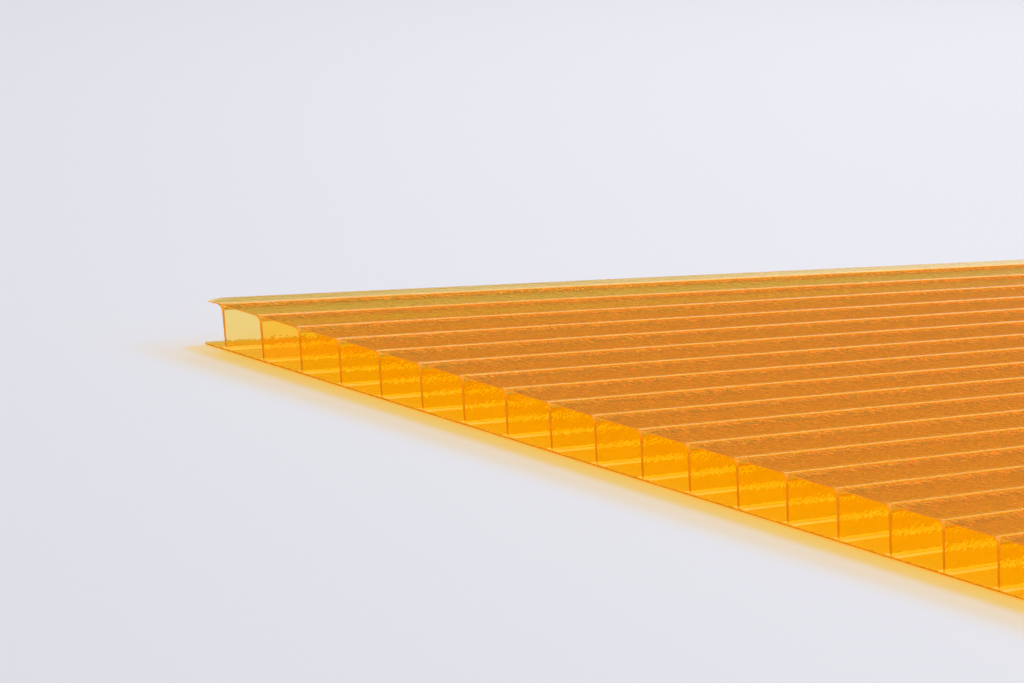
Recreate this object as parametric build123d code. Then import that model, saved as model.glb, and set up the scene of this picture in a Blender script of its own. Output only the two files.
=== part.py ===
from build123d import *
import math
import os

# Twin-wall polycarbonate sheet: one extrusion, two skins held apart by upright webs, with open flutes between.
# Millimetres. +X runs along the flutes, +Y across them and +Z up. The origin is under the middle of the sheet,
# on its lower face. The end at -X and the long edge at +Y meet in the corner that the photograph shows.

# Driving sizes of the sheet
SHEET_LENGTH = 1220.0
SHEET_WIDTH = 610.0
SHEET_THICKNESS = 6.0

# Section of the extrusion
SKIN_THICKNESS = 0.25
WEB_THICKNESS = 0.25
WEB_PITCH = 7.0
FLUTE_TOP_RADIUS = 0.8
FLUTE_FOOT_CHAMFER = 0.15

# The long edges are slit between two webs, which leaves both skins standing out past the last web
LEAST_LIP = 2.0

# The end at -X is sawn with a leaning blade, so its lower edge stands back from its upper edge
SAW_SETBACK = 1.6

# Sizes that follow from the driving ones
WEB_COUNT = int((SHEET_WIDTH - 2 * LEAST_LIP) // WEB_PITCH) + 1
LIP = (SHEET_WIDTH - (WEB_COUNT - 1) * WEB_PITCH) / 2
FLUTE_WIDTH = WEB_PITCH - WEB_THICKNESS
FLUTE_HEIGHT = SHEET_THICKNESS - 2 * SKIN_THICKNESS
MID_HEIGHT = SHEET_THICKNESS / 2


def flute_outline():
    """Hollow between two webs, round in its upper corners and nearly sharp in its lower ones."""
    hollow = Rectangle(FLUTE_WIDTH, FLUTE_HEIGHT)
    hollow = chamfer(hollow.vertices().sort_by(Axis.Y)[:2], FLUTE_FOOT_CHAMFER)
    return fillet(hollow.vertices().sort_by(Axis.Y)[-2:], FLUTE_TOP_RADIUS)


def flute_places():
    """Middle of every closed flute, from the -Y side to the +Y side."""
    first = -(WEB_COUNT - 2) * WEB_PITCH / 2
    return [Pos(first + n * WEB_PITCH, MID_HEIGHT) for n in range(WEB_COUNT - 1)]


def edge_channel(side):
    """Half-open flute along a long edge, cut away from the last web outwards."""
    last_web = side * (WEB_COUNT - 1) * WEB_PITCH / 2
    return Pos(last_web + side * WEB_PITCH / 2, MID_HEIGHT) * flute_outline()


def section():
    """Cross-section of the sheet, with the lower face on the floor."""
    blank = Pos(0, MID_HEIGHT) * Rectangle(SHEET_WIDTH, SHEET_THICKNESS)
    hollows = [place * flute_outline() for place in flute_places()]
    hollows += [edge_channel(-1), edge_channel(1)]
    return blank - hollows


def saw_plane():
    """Leaning plane of the sawn end; its normal points into the sheet."""
    lean = math.degrees(math.atan2(SAW_SETBACK, SHEET_THICKNESS))
    upper_edge = (-SHEET_LENGTH / 2, 0, SHEET_THICKNESS)
    return Plane(origin=upper_edge, x_dir=(0, 1, 0), z_dir=(1, 0, 0)).rotated((0, -lean, 0))


def twinwall_sheet():
    """The whole sheet, extruded along its flutes and sawn at the leaning end."""
    start = Plane.YZ.offset(-SHEET_LENGTH / 2)
    extrusion = extrude(start * section(), SHEET_LENGTH)
    return split(extrusion, bisect_by=saw_plane(), keep=Keep.TOP)


sheet = twinwall_sheet()
os.makedirs("parts", exist_ok=True)
export_step(sheet, "parts/twinwall_sheet.step")
print("webs", WEB_COUNT, "lip", LIP, "volume mm3", round(sheet.volume), "bounds", sheet.bounding_box())
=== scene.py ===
import math

import bmesh
import bpy
from mathutils import Matrix, Vector, noise


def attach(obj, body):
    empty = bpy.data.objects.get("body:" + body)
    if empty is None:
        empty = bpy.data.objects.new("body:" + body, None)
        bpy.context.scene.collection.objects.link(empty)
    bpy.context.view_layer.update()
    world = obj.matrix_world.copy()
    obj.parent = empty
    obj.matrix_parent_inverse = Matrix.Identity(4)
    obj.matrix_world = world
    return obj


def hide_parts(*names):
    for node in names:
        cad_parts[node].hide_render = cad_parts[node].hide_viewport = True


# Twin-wall polycarbonate sheet in clear amber, lying on a pale table. Metres throughout.

MM = 0.001

# The sheet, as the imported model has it
HALF_LENGTH = 610 * MM
HALF_WIDTH = 305 * MM
THICKNESS = 6 * MM
WEB_PITCH = 7 * MM
WEB_COUNT = 87
LAST_WEB = (WEB_COUNT - 1) / 2 * WEB_PITCH
SKIN_THICKNESS = 0.25 * MM
WEB_THICKNESS = 0.25 * MM
TOP_RADIUS = 0.8 * MM
FOOT_CHAMFER = 0.15 * MM

# Half-widths of the painted highlight lines over each web's ridge and beside each web's foot, then relief left
# by the die and the cooling. The profile pairs the distance from a web with the drop there, and the stations
# are where the lips get new vertices along the sheet, both in millimetres.
RIDGE_HALF_WIDTH = 0.17 * MM
FOOT_HIGHLIGHT_REACH = 0.95 * MM
RIDGE_PROFILE = ((0.0, 0.0), (0.10, 0.02), (0.16, 0.05), (0.45, 0.065), (1.2, 0.09))
LIP_DROOP = 0.09 * MM
LIP_STATIONS = (-600, -585, -566, -542, -512, -475, -430, -370, -290, -180, -40, 120, 280, 420, 530, 590)

# Where the plane that takes the point off the upper lip meets the edges of the sheet's box, in millimetres
NIP = ((-610, 302.6, 6), (-606.6, 305, 6), (-610, 305, 5.5))

# Finishes of the sheet, numbered as amber_finishes makes them
WEB, SAWN, UPPER_SKIN, OUTER_WEB, RIDGE, LIP, FOOT, SKIN = range(8)

# The table, just under the sheet, and the pool of light painted into its colour
TABLE_DROP = 0.06 * MM
TABLE_SIZE = 60
TABLE_COLOUR = (0.775, 0.781, 0.833)
POOL_MIDDLE = (0.2, -0.2, 0)
POOL_RADIUS = 0.8
POOL_END = 1.2
POOL_LEFT = 0.80

# Place at the photographed end of the sheet that the lamps face, and how far off they are
LIT_END = Vector((-0.61, 0.22, 0))
LAMP_DISTANCE = 20

# The photograph's camera: place, then yaw, pitch and roll in degrees, and focal length on a 36 mm sensor
CAMERA_PLACE = (-0.90351, -0.02177, 0.08204)
CAMERA_TURN = (42.98, 9.97, -6.85)
CAMERA_LENS = 125.96

# Polycarbonate, and what each of its surfaces leaves of the light that goes through it to the table; red above
# one lets through more than arrives, painted light standing in for light that the walls gather and pass on
REFRACTION = 1.585
WEB_FILM = (1.07, 0.87, 0.27, 1)
UPPER_FILM = (1.04, 0.80, 0.11, 1)
LOWER_FILM = (1.05, 0.89, 0.37, 1)
CUT_TINT = (1.03, 0.94, 0.5, 1)


# ---------------------------------------------------------------- shader maths

class Value:
    """A node socket that adds a Math node for each operator used on it."""

    def __init__(self, finish, socket):
        self.finish = finish
        self.socket = socket

    def _math(self, operation, *operands):
        return self.finish.node("ShaderNodeMath", {"operation": operation}, dict(enumerate(operands)))

    def __add__(self, other):
        return self._math("ADD", self, other)

    def __sub__(self, other):
        return self._math("SUBTRACT", self, other)

    def __mul__(self, other):
        return self._math("MULTIPLY", self, other)

    def __pow__(self, other):
        return self._math("POWER", self, other)

    def __rsub__(self, other):
        return self._math("SUBTRACT", other, self)

    __radd__ = __add__
    __rmul__ = __mul__

    def larger(self, other):
        return self._math("MAXIMUM", self, other)

    def size(self):
        return self._math("ABSOLUTE", self)

    def wrap(self, length):
        return self._math("FLOORED_MODULO", self, length)


class Finish:
    """One material or world, built node by node."""

    def __init__(self, owner):
        owner.use_nodes = True
        self.tree = owner.node_tree
        self.tree.nodes.clear()

    def node(self, kind, settings=None, inputs=None, output=0):
        """Adds a node: its settings first, then the values or links of its sockets."""
        made = self.tree.nodes.new(kind)
        for name, value in (settings or {}).items():
            if name == "stops":
                for stop, (place, colour) in zip(made.color_ramp.elements, value):
                    stop.position, stop.color = place, colour
                for place, colour in value[2:]:
                    made.color_ramp.elements.new(place).color = colour
            else:
                setattr(made, name, value)
        for name, value in (inputs or {}).items():
            if isinstance(value, Value):
                self.tree.links.new(value.socket, made.inputs[name])
            else:
                made.inputs[name].default_value = value
        return Value(self, made.outputs[output]) if made.outputs else None


def new_finish(name):
    """An empty material with its finish."""
    material = bpy.data.materials.new(name)
    return material, Finish(material)


# ---------------------------------------------------------------- finishes

def orange_peel(finish, grain, depth, stretch=(1, 1, 1)):
    """Fine unevenness of an extruded plastic skin, as a normal."""
    coords = finish.node("ShaderNodeTexCoord", output="Object")
    coords = finish.node("ShaderNodeMapping", inputs={"Vector": coords, "Scale": stretch})
    ripple = finish.node("ShaderNodeTexNoise", inputs={
        "Vector": coords, "Scale": grain, "Detail": 2.0, "Roughness": 0.55})
    return finish.node("ShaderNodeBump", inputs={"Strength": 1.0, "Distance": depth, "Height": ripple})


def mixed(finish, share, first, second):
    """Two shaders in one; share is how much of the second one shows."""
    return finish.node("ShaderNodeMixShader", inputs={0: share, 1: first, 2: second})


def clear_plastic(finish, tint, mirror, normal):
    """Tinted glass; mirror is how much of the full reflection is left, as behind a polarising filter."""
    body = finish.node("ShaderNodeBsdfRefraction", inputs={
        "Color": tint, "IOR": REFRACTION, "Roughness": 0.02, "Normal": normal})
    shine = finish.node("ShaderNodeBsdfAnisotropic", inputs={
        "Color": (1, 1, 1, 1), "Roughness": 0.05, "Normal": normal})
    grazing = finish.node("ShaderNodeFresnel", inputs={"IOR": REFRACTION, "Normal": normal})
    share = grazing * mirror + grazing ** 12 * (1 - mirror)
    return mixed(finish, share, body, shine)


def frosted_plastic(finish, colour, behind, normal):
    """Plastic that scatters light at its surface; behind is the share that comes from its far side."""
    lit = finish.node("ShaderNodeBsdfDiffuse", inputs={"Color": colour, "Roughness": 0.3, "Normal": normal})
    through = finish.node("ShaderNodeBsdfTranslucent", inputs={"Color": colour, "Normal": normal})
    return mixed(finish, behind, lit, through)


def let_lamps_through(finish, shader, film_colour):
    """Ends a finish: the shader as the camera sees it, and tinted film for light on its way to the table."""
    film = finish.node("ShaderNodeBsdfTransparent", inputs={"Color": film_colour})
    lamp = finish.node("ShaderNodeLightPath", output="Is Shadow Ray")
    bounce = finish.node("ShaderNodeLightPath", output="Is Diffuse Ray")
    shown = mixed(finish, lamp.larger(bounce), shader, film)
    finish.node("ShaderNodeOutputMaterial", inputs={"Surface": shown})


def clear_amber(name, tint, mirror, grain, depth, haze=0.0, film_colour=WEB_FILM):
    """Glossy amber wall, through which the next wall shows; haze is what its surface scatters."""
    material, finish = new_finish(name)
    peel = orange_peel(finish, grain, depth)
    clear = clear_plastic(finish, tint, mirror, peel)
    frosted = frosted_plastic(finish, (1.0, 0.9, 0.6, 1), 0.3, peel)
    let_lamps_through(finish, mixed(finish, haze, clear, frosted), film_colour)
    return material


def speckled_amber(tint, mirror):
    """Upper skin, with frosted specks hanging from each web's ridge on its -Y side, painted glints in place of
    the lamp caught by the ripples there.
    """
    material, finish = new_finish("amber_upper_skin")
    peel = orange_peel(finish, 1400.0, 0.010 * MM, (1, 0.3, 1))
    coords = finish.node("ShaderNodeTexCoord", output="Object")
    across = finish.node("ShaderNodeSeparateXYZ", inputs={0: coords}, output="Y") + LAST_WEB
    before_web = WEB_PITCH - across.wrap(WEB_PITCH)
    near = finish.node("ShaderNodeMapRange", inputs={
        "Value": before_web, "From Min": 0.7 * MM, "From Max": 2.7 * MM, "To Min": 0.15, "To Max": 0.0})
    glint_noise = finish.node("ShaderNodeMapping", inputs={"Vector": coords, "Scale": (1, 0.5, 1)})
    glint_noise = finish.node("ShaderNodeTexNoise", inputs={"Vector": glint_noise, "Scale": 1500.0, "Detail": 3.0})
    share = finish.node("ShaderNodeMapRange", inputs={
        "Value": glint_noise + near, "From Min": 0.55, "From Max": 0.72, "To Max": 0.6})
    # Painted glints: frosted orange specks near each web's ridge.
    painted_glint = frosted_plastic(finish, (1.0, 0.42, 0.05, 1), 0.2, peel)
    clear = clear_plastic(finish, tint, mirror, peel)
    let_lamps_through(finish, mixed(finish, share, clear, painted_glint), UPPER_FILM)
    return material


def sawn_amber():
    """Cut ends and slit edges, frosted by the saw, with painted light and shade by height: a painted contact
    shadow at the lowest edge and painted highlights at the web tops.
    """
    material, finish = new_finish("amber_sawn")
    coords = finish.node("ShaderNodeTexCoord", output="Object")
    marks = finish.node("ShaderNodeTexNoise", inputs={"Vector": coords, "Scale": 2500.0, "Detail": 3.0})
    height = finish.node("ShaderNodeSeparateXYZ", inputs={0: coords}, output="Z")
    level = finish.node("ShaderNodeMapRange", inputs={
        "Value": height + marks * (0.3 * MM), "From Min": 0.15 * MM, "From Max": 6.15 * MM})
    # Painted light and shade by height: dark at the very bottom as a painted contact shadow, bright across the
    # lower skin, darker just above it and again at the top, lightest up the middle of the webs.
    colour = finish.node("ShaderNodeValToRGB", {"stops": [
        (0.022, (0.45, 0.29, 0.05, 1)), (1.0, (0.66, 0.34, 0.03, 1)),
        (0.042, (1.0, 0.84, 0.30, 1)), (0.10, (0.66, 0.34, 0.03, 1)),
        (0.45, (0.84, 0.44, 0.03, 1)), (0.93, (0.82, 0.41, 0.02, 1))]}, {0: level})
    # Painted highlight: pale colour at the top of each web's cut.
    across = finish.node("ShaderNodeSeparateXYZ", inputs={0: coords}, output="Y")
    across = across + (LAST_WEB + WEB_PITCH / 2)
    off_web = (across.wrap(WEB_PITCH) - WEB_PITCH / 2).size()
    beside = finish.node("ShaderNodeMapRange", inputs={
        "Value": off_web, "From Min": 0.1 * MM, "From Max": 0.4 * MM, "To Min": 0.35, "To Max": 0.0})
    upper = finish.node("ShaderNodeMapRange", inputs={
        "Value": height + marks * MM, "From Min": 5.9 * MM, "From Max": 6.4 * MM})
    colour = finish.node("ShaderNodeMix", {"data_type": "RGBA"}, {
        0: beside * upper, 6: colour, 7: (1.0, 0.80, 0.66, 1)}, output=2)
    bump = finish.node("ShaderNodeBump", inputs={"Strength": 1.0, "Distance": 0.05 * MM, "Height": marks})
    frosted = frosted_plastic(finish, colour, 0.5, bump)
    clear = clear_plastic(finish, CUT_TINT, 0.3, bump)
    let_lamps_through(finish, mixed(finish, 0.75, clear, frosted), WEB_FILM)
    return material


def highlight_line_amber(name, colour, low, high):
    """Bright frosted line along a web, a painted highlight in place of the lamp's glint there; its frosted
    share wanders between low and high.
    """
    material, finish = new_finish(name)
    coords = finish.node("ShaderNodeTexCoord", output="Object")
    coords = finish.node("ShaderNodeMapping", inputs={"Vector": coords, "Scale": (0.25, 1, 1)})
    uneven = finish.node("ShaderNodeTexNoise", inputs={"Vector": coords, "Scale": 900.0, "Detail": 3.0})
    share = finish.node("ShaderNodeMapRange", inputs={
        "Value": uneven, "From Min": 0.3, "From Max": 0.65, "To Min": low, "To Max": high})
    bump = finish.node("ShaderNodeBump", inputs={"Strength": 1.0, "Distance": 0.05 * MM, "Height": uneven})
    frosted = frosted_plastic(finish, colour, 0.1, bump)
    clear = clear_plastic(finish, CUT_TINT, 0.03, bump)
    let_lamps_through(finish, mixed(finish, share, clear, frosted), WEB_FILM)
    return material


def pale_table():
    """Plain matt table, with a painted pool of light: its colour fades a little away from the sheet."""
    material, finish = new_finish("pale_table")
    coords = finish.node("ShaderNodeTexCoord", output="Object")
    # Painted pool of light: the colour dims with distance from POOL_MIDDLE.
    away = finish.node("ShaderNodeVectorMath", {"operation": "DISTANCE"}, {
        0: coords, 1: POOL_MIDDLE}, output="Value")
    fade = finish.node("ShaderNodeMapRange", {"interpolation_type": "SMOOTHSTEP"}, {
        "Value": away, "From Min": POOL_RADIUS, "From Max": POOL_END, "To Min": 1.0, "To Max": POOL_LEFT})
    colour = finish.node("ShaderNodeVectorMath", {"operation": "SCALE"}, {
        0: TABLE_COLOUR, "Scale": fade})
    matt = finish.node("ShaderNodeBsdfDiffuse", inputs={"Color": colour})
    finish.node("ShaderNodeOutputMaterial", inputs={"Surface": matt})
    return material


# ---------------------------------------------------------------- the sheet

def from_nearest_web(y):
    """Distance across the sheet from the middle of the nearest web."""
    row = round((y + LAST_WEB) / WEB_PITCH)
    row = min(max(row, 0), WEB_COUNT - 1)
    return y - (row * WEB_PITCH - LAST_WEB)


def welded_copy(node):
    """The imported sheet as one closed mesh, with its flat faces made whole again."""
    form = bmesh.new()
    form.from_mesh(node.data)
    bmesh.ops.remove_doubles(form, verts=form.verts, dist=0.002 * MM)
    bmesh.ops.dissolve_limit(form, angle_limit=math.radians(0.5), verts=form.verts, edges=form.edges)
    return form


def with_borders(faces):
    """The faces with their own edges and corners, as a cut takes them, in the same order each run."""
    edges = dict.fromkeys(e for f in faces for e in f.edges)
    corners = dict.fromkeys(v for f in faces for v in f.verts)
    return faces + list(edges) + list(corners)


def cut_across(form, faces, places, axis):
    """Divides the faces with planes that stand at each place along an axis, 0 for X and 1 for Y."""
    side = Vector((axis == 0, axis == 1, 0))
    geometry = with_borders(faces)
    for place in places:
        cut = bmesh.ops.bisect_plane(form, geom=geometry, dist=0.001 * MM, plane_co=side * place, plane_no=side)
        geometry = cut["geom"]


def draw_in(v, corner, reach, share):
    """Draws a vertex near a flute's corner closer to it; corner and reach are across the sheet and up."""
    off = from_nearest_web(v.co.y)
    away = Vector((off, v.co.z)) - corner
    edge = 0.01 * MM
    inside = all(min(0, r) - edge < d < max(0, r) + edge for d, r in zip(away, reach))
    if inside and abs(v.co.y) < LAST_WEB + WEB_PITCH / 2:
        v.co.y -= away.x * (1 - share)
        v.co.z -= away.y * (1 - share)


def sharpen_corners(v):
    """Leaves the round upper corner on one side of each web only, and makes the feet of the webs sharp."""
    half = WEB_THICKNESS / 2
    draw_in(v, Vector((-half, THICKNESS - SKIN_THICKNESS)), (-TOP_RADIUS, -TOP_RADIUS), 0.06)
    for side in (-1, 1):
        draw_in(v, Vector((side * half, SKIN_THICKNESS)), (side * FOOT_CHAMFER, FOOT_CHAMFER), 0.15)


def ridge_drop(off):
    """How far the upper face lies under the crest of the nearest ridge, in millimetres like its distance."""
    for (near, high), (far, low) in zip(RIDGE_PROFILE, RIDGE_PROFILE[1:]):
        if off <= far:
            return high + (low - high) * (off - near) / (far - near)
    return RIDGE_PROFILE[-1][1]


def nip_corner(form):
    """Takes the point off the upper lip, as the saw left it in the photographed corner."""
    a, b, c = (Vector(point) * MM for point in NIP)
    across = (b - a).cross(c - a).normalized()
    if across.dot(Vector((-HALF_LENGTH, HALF_WIDTH, THICKNESS)) - a) < 0:
        across.negate()
    reach = Vector((11 * MM - HALF_LENGTH, LAST_WEB + MM, THICKNESS / 2))
    near = [f for f in form.faces if any(
        v.co.x < reach.x and v.co.y > reach.y and v.co.z > reach.z for v in f.verts)]
    cut = bmesh.ops.bisect_plane(
        form, geom=with_borders(near), dist=0.001 * MM, plane_co=a, plane_no=across, clear_outer=True)
    bmesh.ops.holes_fill(form, edges=[g for g in cut["geom_cut"] if isinstance(g, bmesh.types.BMEdge)])


def add_relief(form):
    """A thin ridge over each web, a shallow sink over each flute, and lips that hang a little."""
    top = [f for f in form.faces if f.normal.z > 0.99 and f.calc_center_median().z > THICKNESS - 0.1 * MM]
    steps = [side * off * MM for off, _ in RIDGE_PROFILE for side in (-1, 1) if off or side > 0]
    webs = [row * WEB_PITCH - LAST_WEB for row in range(WEB_COUNT)]
    cut_across(form, top, sorted(web + step for web in webs for step in steps), 1)
    # Floors are cut where the painted highlight beside each web's foot ends.
    floors = [f for f in form.faces if f.normal.z > 0.99 and f.calc_center_median().z < THICKNESS / 2]
    cut_across(form, floors, sorted(web + side * FOOT_HIGHLIGHT_REACH for web in webs for side in (-1, 1)), 1)
    lips = [f for f in form.faces if abs(f.calc_center_median().y) > LAST_WEB]
    cut_across(form, lips, [x * MM for x in LIP_STATIONS], 0)
    nip_corner(form)
    for v in form.verts:
        sharpen_corners(v)
        if v.co.z > THICKNESS - 0.02 * MM:
            v.co.z -= ridge_drop(abs(from_nearest_web(v.co.y)) / MM) * MM
        out = (abs(v.co.y) - LAST_WEB) / (HALF_WIDTH - LAST_WEB)
        if out > 0 and v.co.z > THICKNESS * 0.8:
            v.co.z -= LIP_DROOP * min(out, 1) ** 2 * (1 + 0.5 * noise.noise(Vector((v.co.x * 9, 0, 0))))


def finish_of(f):
    """Which finish a face gets."""
    middle = f.calc_center_median()
    off_web = abs(from_nearest_web(middle.y))
    out = abs(middle.y)
    upright = abs(f.normal.y) > 0.5
    if abs(f.normal.x) > 0.5 or (upright and out > HALF_WIDTH - 0.3 * MM):
        return SAWN
    # Ridge crests and the floor beside each web's foot carry painted highlight lines.
    if middle.z > THICKNESS - 0.05 * MM and off_web < RIDGE_HALF_WIDTH:
        return RIDGE
    if f.normal.z > 0.5 and middle.z < THICKNESS / 2 and off_web < FOOT_HIGHLIGHT_REACH:
        return FOOT
    if out > LAST_WEB + 0.2 * MM and middle.z > THICKNESS / 2:
        return LIP
    if out > LAST_WEB - WEB_PITCH - 0.2 * MM and upright:
        return OUTER_WEB
    if middle.z > THICKNESS - SKIN_THICKNESS / 2:
        return UPPER_SKIN
    return WEB if upright else SKIN


def amber_finishes():
    """The finishes of the sheet, in the order of their numbers."""
    made = {
        WEB: clear_amber(
            "amber_web", tint=(0.997, 0.956, 0.52, 1), mirror=0.42, grain=800.0, depth=0.045 * MM),
        SAWN: sawn_amber(),
        UPPER_SKIN: speckled_amber(tint=(0.90, 0.745, 0.38, 1), mirror=0.50),
        # Painted glow: red above one in the outer webs' tint sends on more red than arrives.
        OUTER_WEB: clear_amber(
            "amber_outer_web", tint=(1.035, 0.915, 0.52, 1), mirror=0.42, grain=800.0, depth=0.05 * MM),
        # Painted highlights: bright frosted lines along each web's ridge and beside each web's foot.
        RIDGE: highlight_line_amber("amber_ridge_highlight", colour=(0.98, 0.58, 0.02, 1), low=0.35, high=0.9),
        LIP: clear_amber(
            "amber_lip", tint=(0.99, 0.80, 0.25, 1), mirror=0.48, grain=700.0, depth=0.015 * MM),
        FOOT: highlight_line_amber("amber_foot_highlight", colour=(1.0, 1.0, 1.0, 1), low=0.7, high=1.0),
        SKIN: clear_amber(
            "amber_skin", tint=(0.99, 0.965, 0.58, 1), mirror=0.42, grain=900.0, depth=0.02 * MM,
            haze=0.09, film_colour=LOWER_FILM),
    }
    return [made[place] for place in sorted(made)]


def dressed_sheet(node):
    """The sheet with its relief, its sawn faces marked, shaded smooth between sharp edges."""
    form = welded_copy(node)
    add_relief(form)
    form.normal_update()
    for f in form.faces:
        f.smooth = True
        f.material_index = finish_of(f)
    for e in form.edges:
        e.smooth = len(e.link_faces) == 2 and e.calc_face_angle() < math.radians(50)
    mesh = bpy.data.meshes.new("dressed_sheet")
    form.to_mesh(mesh)
    form.free()
    stale = mesh.attributes.get("custom_normal")
    if stale:
        mesh.attributes.remove(stale)
    piece = bpy.data.objects.new("dressed_sheet", mesh)
    bpy.context.scene.collection.objects.link(piece)
    for finish in amber_finishes():
        mesh.materials.append(finish)
    settle_normals(piece)
    return piece


def settle_normals(piece):
    """Keeps the wide faces flat, so that only the small ones between them look rounded."""
    bend = piece.modifiers.new("settle", "WEIGHTED_NORMAL")
    bend.keep_sharp = True
    settled = piece.evaluated_get(bpy.context.evaluated_depsgraph_get())
    piece.data = bpy.data.meshes.new_from_object(settled)
    piece.modifiers.clear()


# ---------------------------------------------------------------- table, lamps and camera

def lay_table():
    """Wide plain floor under the sheet."""
    form = bmesh.new()
    middle = Matrix.Translation((0, 0, -TABLE_DROP))
    bmesh.ops.create_grid(form, x_segments=1, y_segments=1, size=TABLE_SIZE, matrix=middle)
    mesh = bpy.data.meshes.new("table")
    form.to_mesh(mesh)
    form.free()
    table = bpy.data.objects.new("table", mesh)
    bpy.context.scene.collection.objects.link(table)
    mesh.materials.append(pale_table())


def soft_lamp(name, azimuth, elevation, width, height, radiance):
    """Rectangular lamp that faces the photographed end of the sheet."""
    light = bpy.data.lights.new(name, "AREA")
    light.shape = "RECTANGLE"
    light.size = width
    light.size_y = height
    light.energy = radiance * math.pi * width * height
    lamp = bpy.data.objects.new(name, light)
    bpy.context.scene.collection.objects.link(lamp)
    a, e = math.radians(azimuth), math.radians(elevation)
    outward = Vector((math.cos(a) * math.cos(e), math.sin(a) * math.cos(e), math.sin(e)))
    lamp.location = LIT_END + outward * LAMP_DISTANCE
    lamp.rotation_euler = outward.to_track_quat("Z", "Y").to_euler()
    lamp.visible_camera = lamp.visible_transmission = False


def light_studio():
    """Soft surround with a dark band that the skins mirror, a wide window and a lamp high above it.

    Rays that leave the sheet refracted see a plain pale surround in place of the band.
    """
    world = bpy.data.worlds.new("studio")
    bpy.context.scene.world = world
    finish = Finish(world)
    coords = finish.node("ShaderNodeTexCoord", output="Generated")
    height = finish.node("ShaderNodeSeparateXYZ", inputs={0: coords}, output="Z")
    glow = finish.node("ShaderNodeValToRGB", {"stops": [
        (0.10, (0.80, 0.80, 0.84, 1)), (0.42, (0.42, 0.42, 0.43, 1)),
        (0.13, (0.045, 0.045, 0.046, 1)), (0.30, (0.045, 0.045, 0.046, 1))]}, {0: height})
    ahead = finish.node("ShaderNodeSeparateXYZ", inputs={0: coords}, output="X")
    ground = finish.node("ShaderNodeBackground", inputs={"Color": glow, "Strength": 1 + ahead * 0.7})
    through = finish.node("ShaderNodeLightPath", output="Is Transmission Ray")
    plain = finish.node("ShaderNodeBackground", inputs={"Color": (0.50, 0.47, 0.46, 1)})
    finish.node("ShaderNodeOutputWorld", inputs={"Surface": mixed(finish, through, ground, plain)})
    soft_lamp("window", azimuth=10, elevation=30, width=26, height=5, radiance=8.4)
    soft_lamp("high_lamp", azimuth=8, elevation=60, width=0.9, height=6, radiance=91)


def set_camera():
    """The photograph's view, found from the web ends and the web lines."""
    data = bpy.data.cameras.new("camera")
    data.sensor_width = 36
    data.lens = CAMERA_LENS
    data.clip_start = 0.01
    data.clip_end = 300
    camera = bpy.data.objects.new("camera", data)
    bpy.context.scene.collection.objects.link(camera)
    bpy.context.scene.camera = camera
    yaw, pitch, roll = (math.radians(a) for a in CAMERA_TURN)
    ahead = Vector((math.cos(pitch) * math.cos(yaw), math.cos(pitch) * math.sin(yaw), -math.sin(pitch)))
    level = ahead.cross(Vector((0, 0, 1))).normalized()
    down = ahead.cross(level)
    right = math.cos(roll) * level + math.sin(roll) * down
    lower = math.cos(roll) * down - math.sin(roll) * level
    turn = Matrix((right, -lower, -ahead)).transposed().to_4x4()
    camera.matrix_world = Matrix.Translation(CAMERA_PLACE) @ turn


def set_render():
    """Plain view, with enough bounces for many walls of clear plastic."""
    scene = bpy.context.scene
    scene.view_settings.view_transform = "Standard"
    scene.cycles.max_bounces = 32
    scene.cycles.transmission_bounces = 32
    scene.cycles.glossy_bounces = 16
    scene.cycles.diffuse_bounces = 4
    scene.cycles.transparent_max_bounces = 64
    scene.cycles.caustics_reflective = False
    scene.cycles.caustics_refractive = False
    scene.cycles.sample_clamp_indirect = 8.0


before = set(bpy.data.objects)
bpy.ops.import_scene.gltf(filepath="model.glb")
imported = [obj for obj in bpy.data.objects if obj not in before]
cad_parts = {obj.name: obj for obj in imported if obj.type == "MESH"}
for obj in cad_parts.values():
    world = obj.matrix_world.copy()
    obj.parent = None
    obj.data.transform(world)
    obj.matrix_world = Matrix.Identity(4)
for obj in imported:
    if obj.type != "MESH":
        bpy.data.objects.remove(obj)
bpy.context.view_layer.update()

set_render()
lay_table()
light_studio()
set_camera()

sheet = dressed_sheet(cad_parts["twinwall_sheet"])
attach(sheet, "root")
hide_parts("twinwall_sheet")
